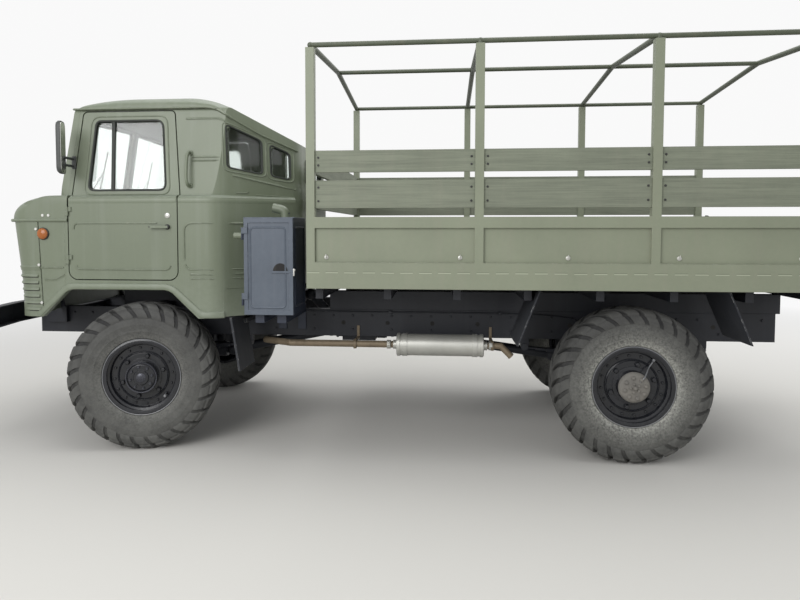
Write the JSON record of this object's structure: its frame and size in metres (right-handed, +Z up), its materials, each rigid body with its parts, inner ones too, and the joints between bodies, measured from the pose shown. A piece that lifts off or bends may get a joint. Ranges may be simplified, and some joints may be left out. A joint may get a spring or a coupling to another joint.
{
  "type": "light off-road military cargo truck",
  "caption": "Forward-control off-road cargo truck with a tilting cab, open slatted cargo bed with canopy bows, drop-down rear gate and large off-road wheels.",
  "frame": {"origin": "on the ground under the middle of the overall box, with the wheels on the ground", "axes": "+X to the truck's rear, +Y to its right, +Z up"},
  "size_m": [5.655, 2.322, 2.774],
  "materials": {
    "cab_green": "faded olive paint, semi-matt",
    "bed_green": "brushed-on olive paint",
    "board_green": "painted planks, weathered",
    "chassis_black": "black chassis paint, dusty",
    "locker_blue": "dark blue-grey paint",
    "rim_black": "glossy black paint",
    "tyre": "worn, dusty rubber",
    "cast_steel": "greasy dark castings",
    "silencer": "bright aluminised sheet",
    "pipe": "heat-stained, rusty",
    "flap": "dusty black sheet",
    "glass": "clear window glass",
    "seat": "black vinyl",
    "cab_trim": "dark trim",
    "lamp": "lamp glass",
    "mirror_black": "black backs"
  },
  "bodies": {
    "chassis": {"frame_rails": "chassis_black", "frame_crossmembers": "chassis_black", "cab_supports": "chassis_black", "front_bumper": "chassis_black", "rear_lamps": "lamp", "engine_block": "cast_steel", "gearboxes": "cast_steel", "propeller_shafts": "chassis_black", "axle_front": "chassis_black", "axle_rear": "chassis_black", "leaf_springs": "chassis_black", "dampers": "chassis_black", "exhaust_pipes": "pipe", "muffler": "silencer", "fuel_tank": "chassis_black", "mudguards": "flap", "tow_hitch": "chassis_black", "bed_sills": "chassis_black", "bed_crossbeams": "chassis_black", "gate_hinges": "bed_green", "bed_floor": "bed_green", "bed_wall_left": "bed_green", "bed_wall_right": "bed_green", "bed_wall_front": "bed_green", "side_boards": "board_green", "canopy_frame": "bed_green", "locker_body": "locker_blue"},
    "steering_knuckle_left": {"knuckle_left": "chassis_black"},
    "steering_knuckle_right": {"knuckle_right": "chassis_black"},
    "steering_tie_rod": {"tie_rod": "chassis_black"},
    "gate": {"tailgate": "bed_green"},
    "locker_lid": {"locker_door": "locker_blue"},
    "cab": {"cab_front": "cab_green", "cab_side_left": "cab_green", "cab_side_right": "cab_green", "cab_rear": "cab_green", "cab_roof": "cab_green", "cab_floor": "cab_green", "grille": "cab_green", "cab_glass": "glass", "seats": "seat", "dashboard": "cab_trim", "front_lamps": "lamp", "mirrors": "mirror_black"},
    "left_door": {"door_left": "cab_green", "door_glass_left": "glass"},
    "right_door": {"door_right": "cab_green", "door_glass_right": "glass"},
    "steering_wheel_body": {"steering_wheel": "cab_trim"},
    "wheel_front_left": {"tyre_front_left": "tyre", "rim_front_left": "rim_black"},
    "wheel_front_right": {"tyre_front_right": "tyre", "rim_front_right": "rim_black"},
    "wheel_rear_left": {"tyre_rear_left": "tyre", "rim_rear_left": "rim_black"},
    "wheel_rear_right": {"tyre_rear_right": "tyre", "rim_rear_right": "rim_black"}
  },
  "joints": [
    {"name": "steer_left", "type": "hinge", "parent": "chassis", "child": "steering_knuckle_left", "pos_m": [-1.6975, -0.8, 0.502], "axis": [0, 0, 1], "range_deg": [-39, 17]},
    {"name": "steer_right", "type": "hinge", "parent": "chassis", "child": "steering_knuckle_right", "pos_m": [-1.6975, 0.8, 0.502], "axis": [0, 0, 1], "range_deg": [-39, 17]},
    {"name": "tie_rod_pivot", "type": "hinge", "parent": "steering_knuckle_left", "child": "steering_tie_rod", "pos_m": [-1.98571, -0.78471, 0.462], "axis": [0, 0, 1], "range_deg": [-18.7, 42.7]},
    {"name": "front_left_spin", "type": "hinge", "parent": "steering_knuckle_left", "child": "wheel_front_left", "pos_m": [-1.67842, -0.89816, 0.502], "axis": [-0.1908, 0.9816, 0], "continuous": true},
    {"name": "front_right_spin", "type": "hinge", "parent": "steering_knuckle_right", "child": "wheel_front_right", "pos_m": [-1.71658, 0.89816, 0.502], "axis": [-0.1908, 0.9816, 0], "continuous": true},
    {"name": "rear_left_spin", "type": "hinge", "parent": "chassis", "child": "wheel_rear_left", "pos_m": [1.6025, -0.875, 0.502], "axis": [0, 1, 0], "continuous": true},
    {"name": "rear_right_spin", "type": "hinge", "parent": "chassis", "child": "wheel_rear_right", "pos_m": [1.6025, 0.875, 0.502], "axis": [0, 1, 0], "continuous": true},
    {"name": "cab_tilt", "type": "hinge", "parent": "chassis", "child": "cab", "pos_m": [-2.5675, 0, 1], "axis": [0, -1, 0], "range_deg": [0, 50]},
    {"name": "left_door_hinge", "type": "hinge", "parent": "cab", "child": "left_door", "pos_m": [-2.181, -0.989, 1.5], "axis": [0, 0, -1], "range_deg": [0, 75]},
    {"name": "right_door_hinge", "type": "hinge", "parent": "cab", "child": "right_door", "pos_m": [-2.181, 0.989, 1.5], "axis": [0, 0, 1], "range_deg": [0, 75]},
    {"name": "steering_wheel_turn", "type": "hinge", "parent": "cab", "child": "steering_wheel_body", "pos_m": [-1.92156, -0.6, 1.65941], "axis": [0.2924, 0, 0.9563], "range_deg": [-540, 540]},
    {"name": "gate_hinge", "type": "hinge", "parent": "chassis", "child": "gate", "pos_m": [2.8, 0, 1.146], "axis": [0, 1, 0], "range_deg": [0, 180]},
    {"name": "locker_hinge", "type": "hinge", "parent": "chassis", "child": "locker_lid", "pos_m": [-0.9035, -1.15, 1.3], "axis": [0, 0, -1], "range_deg": [0, 110]}
  ],
  "couplings": [
    {"joint": "steer_right", "follows": "steer_left", "ratio": 1},
    {"joint": "tie_rod_pivot", "follows": "steer_left", "ratio": -1.091}
  ]
}
